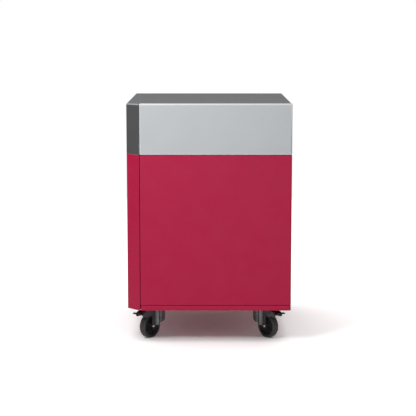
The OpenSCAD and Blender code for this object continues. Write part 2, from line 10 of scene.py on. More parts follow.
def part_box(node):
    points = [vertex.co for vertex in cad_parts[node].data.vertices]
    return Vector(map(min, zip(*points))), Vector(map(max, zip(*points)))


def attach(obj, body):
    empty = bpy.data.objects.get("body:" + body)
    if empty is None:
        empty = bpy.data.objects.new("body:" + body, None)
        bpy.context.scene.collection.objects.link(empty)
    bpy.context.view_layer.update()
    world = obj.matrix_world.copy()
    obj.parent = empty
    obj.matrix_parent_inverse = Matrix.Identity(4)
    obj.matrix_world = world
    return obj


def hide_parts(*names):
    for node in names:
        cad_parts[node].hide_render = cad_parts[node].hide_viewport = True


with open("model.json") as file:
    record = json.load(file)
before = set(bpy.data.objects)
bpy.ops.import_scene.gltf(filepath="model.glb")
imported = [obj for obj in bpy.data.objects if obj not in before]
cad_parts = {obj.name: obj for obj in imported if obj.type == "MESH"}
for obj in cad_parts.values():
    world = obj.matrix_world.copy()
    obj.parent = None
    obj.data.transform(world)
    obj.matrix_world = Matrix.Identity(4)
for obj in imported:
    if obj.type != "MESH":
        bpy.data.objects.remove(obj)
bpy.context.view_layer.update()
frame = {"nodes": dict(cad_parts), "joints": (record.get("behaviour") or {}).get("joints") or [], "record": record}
scene = bpy.context.scene

# Sheet-metal sizes, in metres
SHEET = 0.0012
ROLL = 0.004            # outer radius of the rolled edges
FOLD = 0.0009           # outer radius of an ordinary fold
BEND = 0.0012           # rounding of the bends beside the chamfered corner
ROLL_STEPS = 6
FOLD_STEPS = 3
PLINTH_GAP = 0.0022     # between the corner post and the plinth strip
POST_INSIDE = 0.0029    # from the front of the corner post to the floor pan inside it

# Caster sizes, in metres
TYRE_W = 0.017
TYRE_T = 0.005
AXLE_R = 0.003
FORK_IN = TYRE_W / 2 + 0.0015
FORK_T = 0.0025
STEP_SHARE = 0.36       # where the horn's front step is, as a share of the trail

CREASE = math.radians(32)           # edges sharper than this are shaded as edges
PAINT_DUST = (0.62, 0.6, 0.57, 1)
METAL_DUST = (0.4, 0.39, 0.37, 1)
PLASTIC_DUST = (0.32, 0.31, 0.29, 1)

ROOM_LIGHT = 0.55       # how bright the studio's walls are, as light


def low(node):
    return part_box(node)[0]


def high(node):
    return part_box(node)[1]


def joint(name):
    return next(j for j in frame["joints"] if j["name"] == name)


# ---------------------------------------------------------------- camera, floor and lights

def make_camera():
    """Looks at the front, a little down, from about seven body widths away."""
    front_y = low("upper_front_skin").y
    top_z = high("upper_front_skin").z
    distance = 3.119
    above_top = 0.198
    off_centre = -0.0025
    pitch = math.radians(8.2)
    data = bpy.data.cameras.new("camera")
    data.sensor_width = 36
    data.lens = 112.85
    data.clip_end = 60
    camera = bpy.data.objects.new("camera", data)
    camera.location = (off_centre, front_y - distance, top_z + above_top)
    camera.rotation_euler = (math.pi / 2 - pitch, 0, 0)
    scene.collection.objects.link(camera)
    scene.camera = camera


def make_floor():
    floor_r = 2.4
    bm = bmesh.new()
    bmesh.ops.create_circle(bm, cap_ends=True, segments=96, radius=floor_r)
    floor = new_object("floor", bm)
    floor.data.materials.append(floor_material())


def area_light(name, place, target, size, power):
    data = bpy.data.lights.new(name, "AREA")
    data.shape = "RECTANGLE"
    data.size, data.size_y = size
    data.energy = power
    light = bpy.data.objects.new(name, data)
    light.location = place
    light.rotation_euler = (Vector(target) - Vector(place)).to_track_quat("-Z", "Y").to_euler()
    scene.collection.objects.link(light)


def make_world():
    """White where the camera looks past the floor, and a softer white as light."""
    world = bpy.data.worlds.new("studio")
    world.use_nodes = True
    w = Wires(world.node_tree)
    path = w.node("ShaderNodeLightPath")
    strength = w.span(path.outputs["Is Camera Ray"], 0.0, 1.0, ROOM_LIGHT, 1.0)
    background = world.node_tree.nodes["Background"]
    background.inputs["Color"].default_value = (1, 1, 1, 1)
    w.join(strength, background.inputs["Strength"])
    scene.world = world


def make_lights():
    fronts = (0, -0.2, 0.4)
    area_light("key_light", (-0.5, -0.9, 1.0), fronts, (0.25, 0.25), 4.6)
    area_light("near_key", (-0.45, -0.65, 0.85), fronts, (0.25, 0.25), 1.5)
    area_light("low_fill", (0, -4.2, 0.35), fronts, (1.6, 0.6), 46)
    area_light("sky_panel", (0, 1.2, 3.0), (0, 1.2, 0), (5, 5), 150)


# ---------------------------------------------------------------- materials

def shader_group(name, inputs, outputs):
    """An empty node group with named float or colour sockets, and its input and output nodes."""
    tree = bpy.data.node_groups.new(name, "ShaderNodeTree")
    kinds = {float: "NodeSocketFloat", tuple: "NodeSocketColor"}
    for label, value in inputs.items():
        socket = tree.interface.new_socket(label, in_out="INPUT", socket_type=kinds[type(value)])
        socket.default_value = value
    for label, kind in outputs.items():
        tree.interface.new_socket(label, in_out="OUTPUT", socket_type=kinds[kind])
    return tree, tree.nodes.new("NodeGroupInput"), tree.nodes.new("NodeGroupOutput")


class Wires:
    """Short calls for adding nodes to a tree and joining them."""

    def __init__(self, tree):
        self.tree = tree

    def node(self, kind, **settings):
        made = self.tree.nodes.new(kind)
        for key, value in settings.items():
            setattr(made, key, value)
        return made

    def join(self, source, target):
        self.tree.links.new(source, target)

    def feed(self, node, socket, value):
        if hasattr(value, "is_output"):
            self.join(value, node.inputs[socket])
        else:
            node.inputs[socket].default_value = value

    def math(self, operation, a, b=0.0, clamp=False):
        made = self.node("ShaderNodeMath", operation=operation, use_clamp=clamp)
        self.feed(made, 0, a)
        self.feed(made, 1, b)
        return made.outputs[0]

    def noise(self, scale, detail=2.0, roughness=0.5, place=None, distortion=0.0):
        made = self.node("ShaderNodeTexNoise")
        made.inputs["Detail"].default_value = detail
        made.inputs["Roughness"].default_value = roughness
        made.inputs["Distortion"].default_value = distortion
        self.feed(made, "Scale", scale)
        self.join(place or self.place(), made.inputs["Vector"])
        return made.outputs["Fac"]

    def place(self):
        return self.node("ShaderNodeTexCoord").outputs["Object"]

    def stretched(self, scale):
        mapping = self.node("ShaderNodeMapping")
        mapping.inputs["Scale"].default_value = scale
        self.join(self.place(), mapping.inputs["Vector"])
        return mapping.outputs["Vector"]

    def span(self, value, low_in, high_in, low_out, high_out):
        made = self.node("ShaderNodeMapRange", clamp=True)
        for index, part in enumerate((value, low_in, high_in, low_out, high_out)):
            self.feed(made, index, part)
        return made.outputs["Result"]

    def mix(self, share, a, b, blend="MIX"):
        made = self.node("ShaderNodeMix", data_type="RGBA", blend_type=blend)
        self.feed(made, 0, share)
        self.feed(made, 6, a)
        self.feed(made, 7, b)
        return made.outputs[2]


def coat_texture():
    """Powder coat: orange peel, slow colour drift and a fine change of gloss."""
    tree, into, out = shader_group(
        "coat_texture",
        {"Colour": (0.8, 0.8, 0.8, 1.0), "Drift": 0.04, "Gloss": 0.4, "Peel": 600.0},
        {"Colour": tuple, "Roughness": float, "Height": float})
    w = Wires(tree)
    drift = w.noise(3.0, 2.0, 0.5)
    darker = w.mix(1.0, into.outputs["Colour"], (0.86, 0.86, 0.86, 1), "MULTIPLY")
    share = w.math("MULTIPLY", w.span(drift, 0.35, 0.65, 0.0, 1.0), into.outputs["Drift"])
    w.join(w.mix(share, into.outputs["Colour"], darker), out.inputs["Colour"])
    peel = w.noise(into.outputs["Peel"], 2.0, 0.45)
    cloud = w.noise(14.0, 4.0, 0.6)
    rough = w.math("ADD", into.outputs["Gloss"], w.span(cloud, 0.3, 0.7, -0.012, 0.012))
    w.join(w.math("ADD", rough, w.span(peel, 0.3, 0.7, -0.02, 0.02)), out.inputs["Roughness"])
    w.join(peel, out.inputs["Height"])
    return tree


def edge_wear_and_highlight_mask():
    """Thinner, lighter paint on sharp outer edges, a little broken up, which is partly real wear and partly a
    painted highlight; and a painted highlight on edges rolled over the top.
    """
    tree, into, out = shader_group(
        "edge_wear_and_highlight_mask", {"Reach": 0.0007, "Amount": 0.5, "Least": 0.15, "Rolled": 0.0}, {"Mask": float})
    w = Wires(tree)
    bevel = w.node("ShaderNodeBevel", samples=4)
    w.join(into.outputs["Reach"], bevel.inputs["Radius"])
    surface = w.node("ShaderNodeNewGeometry")
    dot = w.node("ShaderNodeVectorMath", operation="DOT_PRODUCT")
    w.join(bevel.outputs["Normal"], dot.inputs[0])
    w.join(surface.outputs["Normal"], dot.inputs[1])
    edge = w.span(dot.outputs["Value"], 0.995, 0.93, 0.0, 1.0)
    broken = w.span(w.noise(90.0, 4.0, 0.65), 0.42, 0.62, into.outputs["Least"], 1.0)
    # Sharp outer edges: real wear at a low Amount, a painted highlight line at a high one
    sharp = w.math("MULTIPLY", w.math("MULTIPLY", edge, broken), into.outputs["Amount"])
    parts = w.node("ShaderNodeSeparateXYZ")
    w.join(surface.outputs["Normal"], parts.inputs[0])
    # Painted highlight: lighter paint on faces tilted between upright and level, as on a rolled edge
    painted_roll_highlight = w.math("MULTIPLY", w.span(parts.outputs["Z"], 0.03, 0.25, 0.0, 1.0),
                    w.span(parts.outputs["Z"], 0.8, 0.97, 1.0, 0.0))
    w.join(w.math("MAXIMUM", sharp, w.math("MULTIPLY", painted_roll_highlight, into.outputs["Rolled"])), out.inputs["Mask"])
    return tree


def dust_mask():
    """Fine settled dust: more on faces that look up, in soft patches."""
    tree, into, out = shader_group("dust_mask", {"Amount": 0.2}, {"Mask": float})
    w = Wires(tree)
    surface = w.node("ShaderNodeNewGeometry")
    parts = w.node("ShaderNodeSeparateXYZ")
    w.join(surface.outputs["Normal"], parts.inputs[0])
    up = w.span(parts.outputs["Z"], -0.2, 1.0, 0.25, 1.0)
    patches = w.span(w.noise(22.0, 5.0, 0.65), 0.4, 0.7, 0.0, 1.0)
    w.join(w.math("MULTIPLY", w.math("MULTIPLY", up, patches), into.outputs["Amount"]), out.inputs["Mask"])
    return tree


def moulding_texture():
    """Spark-eroded mould texture with a faint flow pattern."""
    tree, into, out = shader_group(
        "moulding_texture", {"Colour": (0.02, 0.02, 0.02, 1.0), "Gloss": 0.5, "Grain": 1800.0},
        {"Colour": tuple, "Roughness": float, "Height": float})
    w = Wires(tree)
    grain = w.noise(into.outputs["Grain"], 3.0, 0.6)
    flow = w.noise(9.0, 3.0, 0.55, distortion=1.5)
    lighter = w.mix(1.0, into.outputs["Colour"], (0.012, 0.012, 0.012, 1), "ADD")
    w.join(w.mix(w.span(flow, 0.35, 0.7, 0.0, 0.6), into.outputs["Colour"], lighter), out.inputs["Colour"])
    rough = w.math("ADD", into.outputs["Gloss"], w.span(flow, 0.3, 0.7, -0.06, 0.06))
    w.join(w.math("ADD", rough, w.span(grain, 0.3, 0.7, -0.04, 0.04)), out.inputs["Roughness"])
    w.join(grain, out.inputs["Height"])
    return tree


GROUPS = {}


def group_node(w, maker, **values):
    """Places a shared group in a material's tree, with this material's own values."""
    if maker.__name__ not in GROUPS:
        GROUPS[maker.__name__] = maker()
    made = w.node("ShaderNodeGroup")
    made.node_tree = GROUPS[maker.__name__]
    for label, value in values.items():
        made.inputs[label].default_value = value
    return made


def new_material(name):
    material = bpy.data.materials.new(name)
    material.use_nodes = True
    return material, Wires(material.node_tree), material.node_tree.nodes["Principled BSDF"]


def bump(w, shader, height, strength, distance):
    made = w.node("ShaderNodeBump")
    made.inputs["Strength"].default_value = strength
    made.inputs["Distance"].default_value = distance
    w.join(height, made.inputs["Height"])
    w.join(made.outputs["Normal"], shader.inputs["Normal"])


def powder_coat(name, colour, wear_and_highlight_colour, gloss, peel=600.0, wear_and_highlight_amount=0.25, reach=0.0015, rolled=0.2, level=0.2):
    """Painted steel: coat texture, a lighter colour on the outer edges that is partly rub and partly a painted
    highlight, a painted highlight on rolled edges, and dust on what looks up.
    """
    material, w, shader = new_material(name)
    coat = group_node(w, coat_texture, Colour=(*colour, 1), Drift=0.05, Gloss=gloss, Peel=peel)
    # The edge amount and rolled amount set the painted highlight along edges and rolled tops; a low edge amount is
    # real rub
    edge = group_node(w, edge_wear_and_highlight_mask, Reach=reach, Amount=wear_and_highlight_amount, Least=0.7, Rolled=rolled)
    dust = group_node(w, dust_mask, Amount=0.012)
    # rubbed: coat colour lightened at the edges, partly real rub and partly painted highlight
    rubbed = w.mix(edge.outputs["Mask"], coat.outputs["Colour"], (*wear_and_highlight_colour, 1))
    w.join(w.mix(dust.outputs["Mask"], rubbed, PAINT_DUST), shader.inputs["Base Color"])
    dusty_rough = w.math("MULTIPLY", dust.outputs["Mask"], 0.5)
    rough = w.math("ADD", coat.outputs["Roughness"], dusty_rough, clamp=True)
    w.join(rough, shader.inputs["Roughness"])
    shader.inputs["Specular IOR Level"].default_value = level
    bump(w, shader, coat.outputs["Height"], 0.12, 0.00006)
    return material


def zinc_plate(name):
    """Bright zinc: crystal spangle, brushed streaks along the strip, and dull patches."""
    material, w, shader = new_material(name)
    crystals = w.node("ShaderNodeTexVoronoi")
    crystals.inputs["Scale"].default_value = 150.0
    w.join(w.place(), crystals.inputs["Vector"])
    tone = w.node("ShaderNodeSeparateColor")
    w.join(crystals.outputs["Color"], tone.inputs[0])
    streaks = w.noise(220.0, 3.0, 0.6, place=w.stretched((1.0, 0.04, 1.0)))
    patches = w.noise(18.0, 4.0, 0.6)
    colour = w.mix(w.span(tone.outputs[0], 0.0, 1.0, 0.0, 0.35), (0.46, 0.475, 0.49, 1), (0.6, 0.61, 0.62, 1))
    dulled = w.mix(w.span(patches, 0.45, 0.75, 0.0, 0.4), colour, (0.34, 0.345, 0.35, 1))
    w.join(dulled, shader.inputs["Base Color"])
    shader.inputs["Metallic"].default_value = 0.9
    rough = w.math("ADD", w.span(tone.outputs[0], 0.0, 1.0, 0.3, 0.4), w.span(patches, 0.4, 0.8, 0.0, 0.14))
    w.join(rough, shader.inputs["Roughness"])
    bump(w, shader, streaks, 0.15, 0.00004)
    return material


def dark_fork_metal(name):
    """Black-passivated steel with a soft sheen, rubbed brighter on its edges."""
    material, w, shader = new_material(name)
    patches = w.noise(35.0, 4.0, 0.6)
    grain = w.noise(1400.0, 2.0, 0.5)
    edge = group_node(w, edge_wear_and_highlight_mask, Reach=0.0006, Amount=0.35)
    dust = group_node(w, dust_mask, Amount=0.12)
    tone = w.mix(w.span(patches, 0.3, 0.7, 0.0, 1.0), (0.068, 0.068, 0.07, 1), (0.098, 0.098, 0.1, 1))
    rubbed = w.mix(edge.outputs["Mask"], tone, (0.5, 0.5, 0.5, 1))
    w.join(w.mix(dust.outputs["Mask"], rubbed, METAL_DUST), shader.inputs["Base Color"])
    shader.inputs["Metallic"].default_value = 0.95
    rough = w.math("ADD", w.span(patches, 0.3, 0.7, 0.24, 0.3), w.math("MULTIPLY", dust.outputs["Mask"], 0.8))
    w.join(rough, shader.inputs["Roughness"])
    bump(w, shader, grain, 0.12, 0.00004)
    return material


def bright_steel(name):
    """Plated axle heads: bright, with turned rings too fine to see and a few dull spots."""
    material, w, shader = new_material(name)
    spots = w.noise(260.0, 4.0, 0.6)
    w.join(w.mix(w.span(spots, 0.45, 0.75, 0.0, 0.5), (0.4, 0.4, 0.41, 1), (0.26, 0.26, 0.27, 1)),
           shader.inputs["Base Color"])
    shader.inputs["Metallic"].default_value = 1.0
    w.join(w.span(spots, 0.4, 0.8, 0.22, 0.42), shader.inputs["Roughness"])
    bump(w, shader, w.noise(2200.0, 2.0, 0.5), 0.1, 0.00003)
    return material


def cast_block(name):
    """Raw cast weight: coarse sand texture and darker pits."""
    material, w, shader = new_material(name)
    sand = w.noise(420.0, 6.0, 0.7)
    pits = w.noise(60.0, 5.0, 0.6)
    w.join(w.mix(w.span(pits, 0.35, 0.7, 0.0, 1.0), (0.075, 0.075, 0.078, 1), (0.035, 0.034, 0.033, 1)),
           shader.inputs["Base Color"])
    shader.inputs["Metallic"].default_value = 0.3
    w.join(w.span(pits, 0.3, 0.7, 0.62, 0.8), shader.inputs["Roughness"])
    bump(w, shader, sand, 0.5, 0.0003)
    return material


def moulded(name, colour, gloss, grain=1800.0, dusty=0.04, strength=0.2, level=0.4):
    """Moulded plastic or rubber."""
    material, w, shader = new_material(name)
    base = group_node(w, moulding_texture, Colour=(*colour, 1), Gloss=gloss, Grain=grain)
    dust = group_node(w, dust_mask, Amount=dusty)
    w.join(w.mix(dust.outputs["Mask"], base.outputs["Colour"], PLASTIC_DUST), shader.inputs["Base Color"])
    dusty_rough = w.math("MULTIPLY", dust.outputs["Mask"], 0.6)
    rough = w.math("ADD", base.outputs["Roughness"], dusty_rough, clamp=True)
    w.join(rough, shader.inputs["Roughness"])
    shader.inputs["Specular IOR Level"].default_value = level
    bump(w, shader, base.outputs["Height"], strength, 0.00008)
    return material


def floor_material():
    material, w, shader = new_material("floor_finish")
    tone = w.noise(3.0, 3.0, 0.5)
    w.join(w.mix(w.span(tone, 0.3, 0.7, 0.0, 1.0), (0.93, 0.93, 0.93, 1), (0.95, 0.95, 0.95, 1)),
           shader.inputs["Base Color"])
    shader.inputs["Roughness"].default_value = 0.9
    shader.inputs["Specular IOR Level"].default_value = 0.1
    return material


def make_materials():
    return {
        "crimson_paint": powder_coat("crimson_paint", (0.25, 0.002, 0.028), (0.45, 0.06, 0.11), 0.42,
                                     level=0.1),
        # Graphite and silver: their light edge colours and high edge and rolled amounts paint highlight lines
        # along the edges and top rolls
        "graphite_paint": powder_coat("graphite_paint", (0.041, 0.0415, 0.0425), (0.2, 0.203, 0.207), 0.42,
                                      wear_and_highlight_amount=0.6, rolled=0.9, level=0.12),
        "silver_paint": powder_coat("silver_paint", (0.235, 0.246, 0.257), (0.6, 0.61, 0.62), 0.34,
                                    peel=900.0, wear_and_highlight_amount=0.9, reach=0.0025, rolled=0.45, level=0.4),
        "drawer_paint": powder_coat("drawer_paint", (0.085, 0.09, 0.095), (0.2, 0.2, 0.2), 0.58, peel=1100.0),
        "zinc_plate": zinc_plate("zinc_plate"),
        "ballast_iron": cast_block("ballast_iron"),
        "black_plastic": moulded("black_plastic", (0.006, 0.006, 0.0065), 0.42, level=0.2),
        "plunger_plastic": moulded("plunger_plastic", (0.6, 0.6, 0.58), 0.4, dusty=0.02),
        "buffer_rubber": moulded("buffer_rubber", (0.018, 0.018, 0.018), 0.75, grain=2600.0),
        "fork_steel": dark_fork_metal("fork_steel"),
        "axle_steel": bright_steel("axle_steel"),
        "tread_rubber": moulded("tread_rubber", (0.012, 0.012, 0.0125), 0.5, grain=2200.0, dusty=0.06,
                                strength=0.3, level=0.3),
    }


# ---------------------------------------------------------------- shaping helpers

def new_object(name, bm):
    """Turns a bmesh into an object at the origin, smooth but for its creases.
    An open skin keeps the normals that it had as a closed solid."""
    bmesh.ops.remove_doubles(bm, verts=bm.verts, dist=1e-7)
    if not any(edge.is_boundary for edge in bm.edges):
        bmesh.ops.recalc_face_normals(bm, faces=bm.faces)
    for face in bm.faces:
        face.smooth = True
    for edge in bm.edges:
        edge.smooth = len(edge.link_faces) == 2 and edge.calc_face_angle(0) < CREASE
    mesh = bpy.data.meshes.new(name)
    bm.to_mesh(mesh)
    bm.free()
    made = bpy.data.objects.new(name, mesh)
    scene.collection.objects.link(made)
    return made


def settle(made):
    """Even shading over large flats beside small bends."""
    modifier = made.modifiers.new("even_normals", "WEIGHTED_NORMAL")
    modifier.keep_sharp = True
    return made


def dress(made, body, slot, *nodes):
    """Gives a piece its finish and body, and hides the CAD nodes it stands for, if any."""
    made.data.materials.clear()
    made.data.materials.append(MATERIALS[slot])
    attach(made, body)
    if nodes:
        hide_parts(*nodes)


def block(lo, hi, bm=None):
    """A box between two corners."""
    bm = bm or bmesh.new()
    lo, hi = Vector(lo), Vector(hi)
    size = hi - lo
    matrix = Matrix.Translation((lo + hi) / 2) @ Matrix.Diagonal((*size, 1))
    bmesh.ops.create_cube(bm, size=1, matrix=matrix)
    return bm


def prism(outline, z0, z1, bm=None):
    """An upright prism on a plan outline."""
    bm = bm or bmesh.new()
    face = bm.faces.new([bm.verts.new((x, y, z0)) for x, y in outline])
    grown = bmesh.ops.extrude_face_region(bm, geom=[face])["geom"]
    top = [v for v in grown if isinstance(v, bmesh.types.BMVert)]
    bmesh.ops.translate(bm, vec=(0, 0, z1 - z0), verts=top)
    return bm


def add_part(bm, part):
    """Moves all of one bmesh into another."""
    spare = bpy.data.meshes.new("part")
    part.to_mesh(spare)
    part.free()
    bm.from_mesh(spare)
    bpy.data.meshes.remove(spare)


def edges_at(bm, test):
    """Edges whose middle point and unit direction pass the test."""
    found = []
    for edge in bm.edges:
        a, b = (v.co for v in edge.verts)
        if test((a + b) / 2, (b - a).normalized()):
            found.append(edge)
    return found


def faces_at(bm, axis, value):
    """Faces that lie flat at one place along X, Y or Z."""
    index = "XYZ".index(axis)
    return [f for f in bm.faces if all(near(v.co[index], value) for v in f.verts)]


def roll(bm, edges, radius, steps):
    """Rounds edges with bevels."""
    bmesh.ops.bevel(bm, geom=edges, offset=radius, offset_type="OFFSET", segments=steps, profile=0.5,
                    affect="EDGES", material=-1, clamp_overlap=True)


def near(a, b):
    return abs(a - b) < 1e-5


def upright(direction):
    return abs(direction.z) > 0.99


def along_x(direction):
    return abs(direction.x) > 0.99


def along_y(direction):
    return abs(direction.y) > 0.99


def lathe(profile, steps):
    """Spins a closed profile of (radius, place along the axis) about the Y axis."""
    bm = bmesh.new()
    verts = [bm.verts.new((r, y, 0)) for r, y in profile]
    edges = [bm.edges.new((a, b)) for a, b in zip(verts, verts[1:] + verts[:1])]
    bmesh.ops.spin(bm, geom=verts + edges, cent=(0, 0, 0), axis=(0, 1, 0), angle=2 * math.pi,
                   steps=steps, use_merge=True, use_duplicate=False)
    return bm


def arc(centre, radius, start, end, steps):
    """Points on a circular arc, angles in degrees."""
    points = []
    for i in range(steps + 1):
        a = math.radians(start + (end - start) * i / steps)
        points.append((centre[0] + radius * math.cos(a), centre[1] + radius * math.sin(a)))
    return points


def hollow(made):
    """Gives an open skin its sheet thickness, inwards."""
    modifier = made.modifiers.new("sheet", "SOLIDIFY")
    modifier.thickness = SHEET
    modifier.offset = -1
    modifier.use_even_offset = True
    return made


def baked(made):
    """The same object with its modifiers applied to its mesh."""
    graph = bpy.context.evaluated_depsgraph_get()
    mesh = bpy.data.meshes.new_from_object(made.evaluated_get(graph))
    made.modifiers.clear()
    made.data = mesh
    return made


# ---------------------------------------------------------------- fronts and shells

def rim_of(faces, back_y):
    """Edges round the faces, but for those on the open back."""
    return list({e for f in faces for e in f.edges if not all(near(v.co.y, back_y) for v in e.verts)})


def folded_box(lo, hi, roll_top):
    """A box folded from one sheet: rolled right edge, tighter folds elsewhere, open at the back.
    Its top is either rolled at the front or folded like the rest."""
    bm = block(lo, hi)
    rolled = edges_at(bm, lambda m, d: near(m.y, lo.y) and (
        (upright(d) and near(m.x, hi.x)) or (roll_top and along_x(d) and near(m.z, hi.z))))
    roll(bm, rolled, ROLL, ROLL_STEPS)
    folds = rim_of(faces_at(bm, "X", lo.x), hi.y) + rim_of(faces_at(bm, "Z", lo.z), hi.y)
    if not roll_top:
        folds += rim_of(faces_at(bm, "Z", hi.z), hi.y)
    roll(bm, list(set(folds)), FOLD, FOLD_STEPS)
    bmesh.ops.recalc_face_normals(bm, faces=bm.faces)
    bmesh.ops.delete(bm, geom=faces_at(bm, "Y", hi.y), context="FACES")
    return bm


def folded_sheet(name, node, body, slot, roll_top=False):
    """A front or strip folded from sheet, in place of its plain CAD node."""
    lo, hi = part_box(node)
    made = settle(hollow(new_object(name, folded_box(lo, hi, roll_top))))
    dress(made, body, slot, node)


def chamfer_line():
    """Right edge of the corner post, rear edge of the chamfer, and the shell's edge behind the fronts."""
    lo = low("upper_shell")
    post_x = low("plinth_strip").x - PLINTH_GAP
    shell_y = high("plinth_strip").y
    return post_x, lo.y + (post_x - lo.x), shell_y


def body_outline():
    """Plan of the body behind the fronts, with its chamfered post at the front left."""
    lo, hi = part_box("upper_shell")
    post_x, side_y, shell_y = chamfer_line()
    return [(lo.x, hi.y), (lo.x, side_y), (post_x, lo.y), (post_x, shell_y), (hi.x, shell_y), (hi.x, hi.y)]


def shell_walls(z0, z1, opening, closed_top):
    """Outer skin of a shell: walls, with the drawer opening cut out of the wall behind the fronts."""
    lo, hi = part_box("upper_shell")
    post_x, side_y, shell_y = chamfer_line()
    bm = prism(body_outline(), z0, z1)
    if closed_top:
        top = edges_at(bm, lambda m, d: near(m.z, z1) and (
            (along_y(d) and (near(m.x, lo.x) or near(m.x, hi.x))) or (abs(d.x) > 0.5 and abs(d.y) > 0.5)))
        roll(bm, top, ROLL, ROLL_STEPS)
    gone = faces_at(bm, "Z", z0) + faces_at(bm, "Y", hi.y)
    if not closed_top:
        gone += faces_at(bm, "Z", z1)
    bmesh.ops.recalc_face_normals(bm, faces=bm.faces)
    bmesh.ops.delete(bm, geom=gone, context="FACES")
    x0, x1, cut_z0, cut_z1 = opening
    cuts = [((x0, 0, 0), (1, 0, 0)), ((x1, 0, 0), (1, 0, 0)),
            ((0, 0, cut_z0), (0, 0, 1)), ((0, 0, cut_z1), (0, 0, 1))]
    for place, normal in cuts:
        wall = faces_at(bm, "Y", shell_y)
        edges, verts = {e for f in wall for e in f.edges}, {v for f in wall for v in f.verts}
        geom = wall + list(edges) + list(verts)
        bmesh.ops.bisect_plane(bm, geom=geom, plane_co=place, plane_no=normal)
    middles = [(f, f.calc_center_median()) for f in faces_at(bm, "Y", shell_y)]
    hole = [f for f, middle in middles if x0 < middle.x < x1 and cut_z0 < middle.z < cut_z1]
    bmesh.ops.delete(bm, geom=hole, context="FACES")
    return bm


def corner_bends(bm):
    """Rounds the outside of the upright bends at both sides of the chamfer."""
    lo = low("upper_shell")
    post_x, side_y, shell_y = chamfer_line()
    bends = edges_at(bm, lambda m, d: upright(d) and (
        (near(m.x, lo.x) and near(m.y, side_y)) or (near(m.x, post_x) and near(m.y, lo.y))))
    roll(bm, bends, BEND, FOLD_STEPS)


def rear_folds(bm, z0, z1):
    """Folded edges inside the back of the two sides."""
    lo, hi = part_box("upper_shell")
    fold = 0.012
    y1 = hi.y - SHEET
    sunk = 0.0002
    for x0, x1 in ((lo.x + SHEET - sunk, lo.x + SHEET + fold), (hi.x - SHEET - fold, hi.x - SHEET + sunk)):
        block((x0, y1 - SHEET, z0 + sunk), (x1, y1, z1), bm)


def bay():
    """Left and right sides of the drawer bay."""
    return high("left_liner").x, low("right_liner").x


def make_upper_shell():
    lo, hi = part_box("upper_shell")
    x0, x1 = bay()
    lintel = 0.022
    bm = shell_walls(lo.z, hi.z, (x0, x1, lo.z - 1, hi.z - lintel), True)
    made = baked(hollow(new_object("upper_shell_skin", bm)))
    bm = bmesh.new()
    bm.from_mesh(made.data)
    corner_bends(bm)
    rear_folds(bm, lo.z, hi.z - 2 * ROLL)
    bm.to_mesh(made.data)
    bm.free()
    dress(settle(made), "cabinet", "graphite_paint", "upper_shell")


def make_lower_shell():
    lo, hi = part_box("lower_shell")
    x0, x1 = bay()
    sill = high("ballast_block").z + 0.001
    floor_z = low("base_plate").z
    bm = shell_walls(lo.z, hi.z, (x0, x1, sill, hi.z + 1), False)
    made = baked(hollow(new_object("lower_shell_skin", bm)))
    post_x, side_y, shell_y = chamfer_line()
    gap_x = post_x + PLINTH_GAP
    side_slack = 0.0005
    inside = [(lo.x + SHEET, hi.y), (lo.x + SHEET, side_y + side_slack), (post_x - SHEET, lo.y + POST_INSIDE),
              (gap_x, lo.y + POST_INSIDE), (gap_x, shell_y + SHEET), (hi.x - SHEET, shell_y + SHEET),
              (hi.x - SHEET, hi.y)]
    bm = bmesh.new()
    bm.from_mesh(made.data)
    corner_bends(bm)
    prism(inside, floor_z - SHEET, floor_z, bm)
    rear_folds(bm, floor_z, hi.z)
    bm.to_mesh(made.data)
    bm.free()
    dress(settle(made), "cabinet", "crimson_paint", "lower_shell")


def pressed_panel(name, node, slot):
    """A back panel with a shallow pressed field, which keeps a thin sheet flat."""
    lo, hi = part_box(node)
    margin, slope, press = 0.022, 0.0015, 0.0006
    edge_r = 0.0004
    bm = block(lo, hi)
    back = faces_at(bm, "Y", hi.y)
    bmesh.ops.inset_region(bm, faces=back, thickness=margin, depth=0)
    bmesh.ops.inset_region(bm, faces=back, thickness=slope, depth=-press)
    rim = edges_at(bm, lambda m, d: near(m.y, hi.y) and (
        near(m.x, lo.x) or near(m.x, hi.x) or near(m.z, lo.z) or near(m.z, hi.z)))
    roll(bm, rim, edge_r, 2)
    dress(settle(new_object(name, bm)), "cabinet", slot, node)


# ---------------------------------------------------------------- casters

class Caster:
    """One caster's own frame: its swivel axis is Z, it trails along +X, and the floor is z = 0."""

    def __init__(self, corner):
        swivel = Vector(joint(corner + "_swivel")["pos_m"])
        roll_at = Vector(joint(corner + "_roll")["pos_m"])
        ahead = Vector((roll_at.x - swivel.x, roll_at.y - swivel.y, 0))
        self.corner = corner
        self.trail = ahead.length
        self.axle_z = roll_at.z
        turn = math.atan2(ahead.y, ahead.x)
        self.matrix = Matrix.Translation((swivel.x, swivel.y, 0)) @ Matrix.Rotation(turn, 4, "Z")
        self.wheel_r = high(corner + "_tyre").z / 2

    def put(self, name, bm, body, slot, *nodes):
        """Sets a finished shape in its place as a piece of this caster."""
        bmesh.ops.transform(bm, matrix=self.matrix, verts=bm.verts)
        made = settle(new_object(f"{self.corner}_{name}", bm))
        dress(made, f"{self.corner}_{body}", slot, *(f"{self.corner}_{node}" for node in nodes))

    def wheel_place(self):
        return Matrix.Translation((self.trail, 0, self.axle_z))


